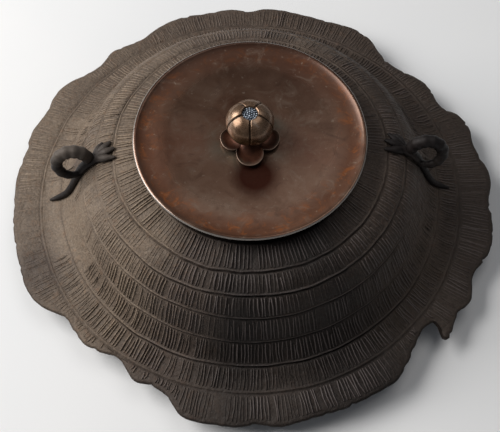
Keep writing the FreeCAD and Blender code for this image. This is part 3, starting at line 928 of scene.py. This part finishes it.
def tube(line, sides):
    """Closed tube along (radius, across, height, half width in the lug's plane, half width across it)."""
    points = [Vector(stop[:3]) for stop in line]
    verts = []
    for index, (*_, thick, wide) in enumerate(line):
        before = points[max(index - 1, 0)]
        after = points[min(index + 1, len(points) - 1)]
        way = (after - before).normalized()
        out = Vector((0, 1, 0)).cross(way).normalized()
        across = way.cross(out).normalized()
        for side in range(sides):
            turn = math.tau * side / sides
            aside = out * (max(thick, LEAST_TUBE) * math.cos(turn))
            verts.append(points[index] + aside + across * (max(wide, LEAST_TUBE) * math.sin(turn)))
    faces = []
    for index in range(len(points) - 1):
        for side in range(sides):
            a = index * sides + side
            b = index * sides + (side + 1) % sides
            faces.append((a, b, b + sides, a + sides))
    for end in (0, len(points) - 1):
        tip = len(verts)
        verts.append(points[end])
        for side in range(sides):
            faces.append((end * sides + side, end * sides + (side + 1) % sides, tip))
    return verts, faces


def smooth_path(controls, steps):
    """Catmull-Rom points through given controls of any length of tuple."""
    result = []
    padded = [controls[0]] + list(controls) + [controls[-1]]
    for p0, p1, p2, p3 in zip(padded, padded[1:], padded[2:], padded[3:]):
        for step in range(steps):
            t = step / steps
            result.append(tuple(
                0.5 * (2 * b + (c - a) * t + (2 * a - 5 * b + 4 * c - d) * t * t
                       + (3 * b - a - 3 * c + d) * t ** 3)
                for a, b, c, d in zip(p0, p1, p2, p3)))
    result.append(tuple(controls[-1]))
    return result


def above_dome(radius, lift):
    """Point of the lug's plane a given height off the dome's skin."""
    point, normal = dome_at(length_at_radius(radius))
    return (point[0] + normal[0] * lift, point[1] + normal[1] * lift)


def lug_arch():
    """Curled body of the prawn, over the ring hole."""
    stops = ((214, 8.9, 2.3, 3.0, 0.8), (190, 9.1, 3.0, 3.4, 1.0), (165, 9.3, 3.4, 3.7, 1.1),
             (140, 9.6, 3.7, 3.8, 1.2), (115, 9.7, 3.8, 3.8, 1.2), (90, 9.6, 3.8, 3.7, 1.1),
             (65, 9.5, 3.7, 3.7, 0.6), (40, 9.3, 3.6, 3.6, -0.1), (15, 9.1, 3.4, 3.4, -1.0),
             (-10, 9.0, 3.2, 3.1, -2.0), (-38, 8.9, 2.9, 2.8, -2.9), (-66, 8.9, 2.5, 2.4, -3.3),
             (-92, 9.4, 2.1, 2.0, -2.6), (-112, 10.6, 1.6, 1.7, -1.4))
    controls = []
    for angle, reach, thick, wide, shift in stops:
        turn = math.radians(angle)
        out = RING_HOLE[0] + reach * math.cos(turn)
        controls.append((out, shift, RING_HOLE[1] + reach * math.sin(turn), thick, wide))
    line = []
    for index, (*place, thick, wide) in enumerate(smooth_path(controls, ARCH_STEPS)):
        ridge = 1.0 + SEGMENT_SWELL * math.cos(index * math.tau / SEGMENT_STEPS)
        line.append((*place, thick * ridge, wide * ridge))
    return tube(line, ARCH_SIDES)


def lug_pieces():
    """Tubes that make up one lug, in the frame of the right lug, in mm."""
    strand = [(84.0, 1.0, 1.4, 1.2, 2.4), (90.0, 0.4, 1.8, 2.2, 3.0), (96.0, 0.0, 1.9, 2.6, 3.3),
              (102.0, 0.0, 1.6, 2.3, 3.0), (107.0, 0.0, 1.5, 2.0, 2.6), (112.5, 0.0, 1.4, 1.8, 2.1),
              (119.0, 0.4, 1.2, 1.5, 1.7), (124.5, 0.6, 0.9, 0.5, 0.7)]
    leaves = [((90.0, 0.5), (84.0, -1.4), (77.6, -1.8)), ((90.0, 1.4), (83.5, 2.6), (78.2, 4.6)),
              ((90.0, 2.0), (85.0, 5.6), (80.6, 9.6)), ((90.5, 2.4), (88.0, 6.4), (85.6, 10.6))]
    leaf_sizes = ((2.0, 1.9, 2.2), (2.2, 1.7, 2.3), (0.9, 0.5, 0.8))
    limbs = [[]]
    for radius, side, lift, thick, wide in strand:
        spot = above_dome(radius, lift)
        limbs[0].append((spot[0], side, spot[1], thick, wide))
    for leaf in leaves:
        limbs.append([])
        for (radius, side), (lift, thick, wide) in zip(leaf, leaf_sizes):
            spot = above_dome(math.hypot(radius, side), lift)
            limbs[-1].append((radius, side, spot[1], thick, wide))
    return [lug_arch()] + [tube(smooth_path(limb, LIMB_STEPS), LIMB_SIDES) for limb in limbs]


def lug(name, mirrored, turn):
    """One ring lug as a closed mesh on the dome."""
    verts = []
    faces = []
    for part_verts, part_faces in lug_pieces():
        start = len(verts)
        verts += part_verts
        faces += [tuple(start + i for i in face) for face in part_faces]
    place = Matrix.Rotation(math.radians(turn), 4, "Z")
    side = -1.0 if mirrored else 1.0
    spots = [place @ Vector((v[0] * side * MM, v[1] * MM, v[2] * MM)) for v in verts]
    # Painted highlight: the left lug's top is paler, the right lug has none
    rubbed = LEFT_LUG_HIGHLIGHT if mirrored else 0.0
    crest = [rubbed * clamp((v[2] - LUG_HIGHLIGHT_LOW) / LUG_HIGHLIGHT_RISE) for v in verts]
    obj = mesh_object(name + "_prawn", [tuple(v) for v in spots], faces, LUG_IRON, {"crest": crest})
    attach(obj, "kettle")
    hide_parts(name)


def lid_piece():
    """Dished lid with its raised edge and centring ring."""
    top = COLLAR_TOP + LID_THICKNESS
    edge_top = top + LID_EDGE_RISE
    edge_low = edge_top - LID_EDGE_THICKNESS
    crest = LID_RADIUS - LID_CREST_WIDTH
    flat = LID_RADIUS - LID_COVE_WIDTH
    profile = [(radius, top) for radius in (STEM_HOLE_RADIUS, 8.0, 16.0, 26.0, 36.0, 46.0, 53.0)]
    for step in range(LID_COVE_STEPS + 1):
        share = step / LID_COVE_STEPS
        radius = flat + (crest - flat) * share
        profile.append((radius, top + LID_EDGE_RISE * share ** LID_RISE_POWER))
    middle = (edge_top + edge_low) / 2
    half = (edge_top - edge_low) / 2
    for step in range(1, LID_CREST_STEPS):
        turn = math.pi / 2 - math.pi * step / LID_CREST_STEPS
        profile.append((crest + LID_CREST_WIDTH * math.cos(turn), middle + half * math.sin(turn)))
    ring_top = COLLAR_TOP - LID_RING_FILLET
    ring_bevel = LID_RING_LOW + LID_RING_BEVEL
    profile += [(crest, edge_low), (COLLAR_RADIUS + 1.5, COLLAR_TOP + 0.05)]
    profile += [(LID_RING_OUTER + LID_RING_FILLET, COLLAR_TOP), (LID_RING_OUTER, ring_top)]
    profile += [(LID_RING_OUTER, ring_bevel), (LID_RING_OUTER - LID_RING_BEVEL, LID_RING_LOW)]
    profile += [(LID_RING_INNER + LID_RING_BEVEL, LID_RING_LOW), (LID_RING_INNER, ring_bevel)]
    profile += [(LID_RING_INNER, ring_top), (LID_RING_INNER - LID_RING_FILLET, COLLAR_TOP)]
    profile.append((STEM_HOLE_RADIUS, COLLAR_TOP))
    edge = [clamp(min((radius - RED_START) / RED_RISE, (RED_END - radius) / RED_FALL))
            for radius, _ in profile]
    # Painted highlight on the outer lip of the edge
    bare = LID_RADIUS - RIM_WIDTH
    rim = [1.0 if radius > bare and z > middle - RIM_DROP else 0.0 for radius, z in profile]
    verts = []
    for segment in range(LID_SEGMENTS):
        angle = math.tau * segment / LID_SEGMENTS
        verts += [spot_at(radius, angle, z) for radius, z in profile]
    faces = loop_faces(LID_SEGMENTS, len(profile), len(profile))
    store = {"edge": edge * LID_SEGMENTS, "rim": rim * LID_SEGMENTS}
    obj = mesh_object("lid_dish", verts, faces, BRONZE_LID, store)
    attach(obj, "lid")
    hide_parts("lid")


def knob_bud():
    """Bud of five petals with deep grooves between them and a pit at the top."""
    low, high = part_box("knob_bud")
    radius = (high.x - low.x) / 2 / MM
    bottom, top = low.z / MM, high.z / MM
    tube_radius = (top - bottom) / 2
    tube_centre = radius - tube_radius
    middle = (top + bottom) / 2
    pit_turn = math.acos((INLAY_RADIUS - tube_centre) / tube_radius)
    verts = []
    groove = []
    lower = []
    angles = [math.tau * column / BUD_COLUMNS for column in range(BUD_COLUMNS)]
    for angle in angles:
        away = off_petal(angle) * math.tau / KNOB_PETALS
        for row in range(BUD_ROWS + 1):
            turn = pit_turn - (pit_turn + math.pi / 2) * row / BUD_ROWS
            spot = tube_centre + tube_radius * math.cos(turn)
            distance = away * max(spot, 0.5)
            fall = math.exp(-(distance / BUD_GROOVE_HALF_WIDTH) ** 2)
            swell = (1.0 - math.cos(min(1.0, away / (math.pi / KNOB_PETALS)) * math.pi)) / 2
            sink = BUD_GROOVE_DEPTH * fall + BUD_PETAL_SWELL * (1.0 - swell) * max(0.0, math.cos(turn))
            z = middle + (tube_radius - sink) * math.sin(turn)
            reach = tube_centre + (tube_radius - sink) * math.cos(turn)
            verts.append(spot_at(reach, angle, z))
            groove.append(fall)
            # Painted reflection: the lower part of the bud darker, standing in for the dark lid reflected in
            # it
            lower.append(clamp(0.5 - LID_REFLECTION_SLOPE * (math.sin(turn) - LID_REFLECTION_TOP)))
    wide = BUD_ROWS + 1
    faces = loop_faces(BUD_COLUMNS, wide, BUD_ROWS)
    pit = len(verts)
    verts += [spot_at(INLAY_RADIUS, angle, top - INLAY_DEPTH) for angle in angles]
    groove += [1.0] * BUD_COLUMNS
    lower += [0.0] * BUD_COLUMNS
    for column in range(BUD_COLUMNS):
        following = (column + 1) % BUD_COLUMNS
        faces.append((column * wide, pit + column, pit + following, following * wide))
    faces.append(tuple(pit + column for column in range(BUD_COLUMNS)))
    faces.append(tuple(column * wide + BUD_ROWS for column in range(BUD_COLUMNS)))
    obj = mesh_object("knob_bud_petals", verts, faces, BRONZE_KNOB, {"groove": groove, "lower": lower})
    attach(obj, "knob")
    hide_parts("knob_bud")


def knob_seat():
    """Flower plate of five cupped petals with turned-up rims, and a neck to the bud."""
    low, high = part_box("knob_seat")
    floor = low.z / MM
    top = high.z / MM
    tip = -low.y / MM
    shares = [0.0, 0.12, 0.24, 0.36, 0.46, 0.56, 0.66, 0.76, 0.85, 0.92, 0.97, 1.0]
    verts = []
    rim = []
    for column in range(SEAT_COLUMNS):
        angle = math.tau * column / SEAT_COLUMNS
        away = off_petal(angle) * 2
        front = max(0.0, math.cos(angle - math.radians(FRONT_ANGLE)))
        reach = tip * (SIDE_PETALS + FRONT_PETAL * front ** 6) * (1.0 - PETAL_NOTCH * away ** 2.6)
        petal = reach - SEAT_NECK
        line = [(SEAT_HOLE_RADIUS, top, 0.0), (5.2, top, 0.0), (5.9, top - 1.4, 0.0)]
        for share in shares:
            radius = SEAT_NECK + petal * share
            rise = SEAT_CUP * share ** 3 + SEAT_ROOT * (1 - share) ** 3 + SEAT_BETWEEN * away ** 4 * share
            line.append((radius, floor + SEAT_PLATE + rise, share ** 6))
        line += [(reach + 0.25, floor + 2.9, 1.0), (reach - 0.35, floor + 1.6, 0.4)]
        line += [(SEAT_NECK + petal * 0.72, floor, 0.0), (SEAT_HOLE_RADIUS, floor, 0.0)]
        verts += [spot_at(radius, angle, z) for radius, z, _ in line]
        rim += [value for _, _, value in line]
    deep = len(verts) // SEAT_COLUMNS
    faces = loop_faces(SEAT_COLUMNS, deep, deep)
    obj = mesh_object("knob_seat_flower", verts, faces, BRONZE_SEAT, {"rim": rim})
    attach(obj, "lid")
    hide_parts("knob_seat")


def stamen_inlay():
    """Boss with a cluster of small round stamens."""
    low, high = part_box("stamen_inlay")
    crown = high.z / MM
    mesh = bmesh.new()
    spots = [(0.0, 0.0)]
    for ring, count in STAMEN_RINGS:
        for number in range(count):
            turn = math.tau * (number + ring * STAMEN_STAGGER) / count
            spots.append((ring * math.cos(turn), ring * math.sin(turn)))
    for x, y in spots:
        fall = STAMEN_FALL * (math.hypot(x, y) / INLAY_RADIUS) ** 2
        place = Matrix.Translation(Vector((x, y, crown - fall)) * MM)
        bmesh.ops.create_icosphere(mesh, subdivisions=2, radius=STAMEN_RADIUS * MM, matrix=place)
    side = INLAY_RADIUS - 0.05
    profile = [(0.0, crown - 0.05), (1.5, crown - 0.15), (3.0, crown - 0.4), (4.2, crown - 0.8),
               (side, crown - 1.2), (side, low.z / MM)]
    turns = [math.tau * i / BOSS_COLUMNS for i in range(BOSS_COLUMNS)]
    rings = [[mesh.verts.new(spot_at(radius, turn, z)) for turn in turns] for radius, z in profile[1:]]
    tip = mesh.verts.new((0.0, 0.0, profile[0][1] * MM))
    for i in range(BOSS_COLUMNS):
        j = (i + 1) % BOSS_COLUMNS
        mesh.faces.new((tip, rings[0][i], rings[0][j]))
        for upper, lower in zip(rings, rings[1:]):
            mesh.faces.new((upper[i], lower[i], lower[j], upper[j]))
    mesh.faces.new(list(reversed(rings[-1])))
    for face in mesh.faces:
        face.smooth = True
    bmesh.ops.recalc_face_normals(mesh, faces=mesh.faces)
    data = bpy.data.meshes.new("stamens")
    mesh.to_mesh(data)
    mesh.free()
    data.materials.append(SILVER)
    obj = scene_object("stamens", data)
    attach(obj, "knob")
    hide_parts("stamen_inlay")


def finish_cad_nodes():
    """Materials of the CAD nodes that stay as they are."""
    plain = {"kettle_base": IRON, "base_seam": LACQUER, "sounding_lacquer": LACQUER,
             "knob_stem": BRONZE_KNOB, "stem_washer": BRONZE_KNOB}
    for number in range(1, PLATES + 1):
        plain[f"sounding_plate_{number}"] = IRON
    for node, material in plain.items():
        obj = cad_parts[node]
        obj.data.materials.clear()
        obj.data.materials.append(material)


def stage():
    """Pale table, camera and soft studio light from the upper left."""
    bpy.ops.mesh.primitive_plane_add(size=FLOOR_SIZE)
    floor = bpy.context.object
    floor.name = "floor"
    floor.data.materials.append(FLOOR)
    camera_data = bpy.data.cameras.new("camera")
    camera_data.lens = CAMERA_LENS
    camera = scene_object("camera", camera_data)
    camera.location = CAMERA_PLACE
    camera.rotation_euler = (math.radians(CAMERA_TILT), 0.0, 0.0)
    bpy.context.scene.camera = camera
    for name, place, size, power, colour in LIGHTS:
        data = bpy.data.lights.new(name, "AREA")
        data.size = size
        data.energy = power
        data.color = colour
        lamp = scene_object(name, data)
        lamp.location = place
        aim = Vector(LIGHT_TARGET) - Vector(place)
        lamp.rotation_euler = aim.to_track_quat("-Z", "Y").to_euler()
    world = bpy.data.worlds.new("studio")
    world.use_nodes = True
    tree = world.node_tree
    background = tree.nodes["Background"]
    background.inputs["Color"].default_value = AMBIENT
    background.inputs["Strength"].default_value = AMBIENT_STRENGTH
    show_backdrop(tree, background, "ShaderNodeBackground", 1.0, "World Output")
    bpy.context.scene.world = world
    bpy.context.scene.view_settings.view_transform = "Standard"


kettle_dome()
lug("right_lug", False, 0.0)
lug("left_lug", True, LEFT_LUG_TURN)
lid_piece()
knob_bud()
knob_seat()
stamen_inlay()
finish_cad_nodes()
stage()
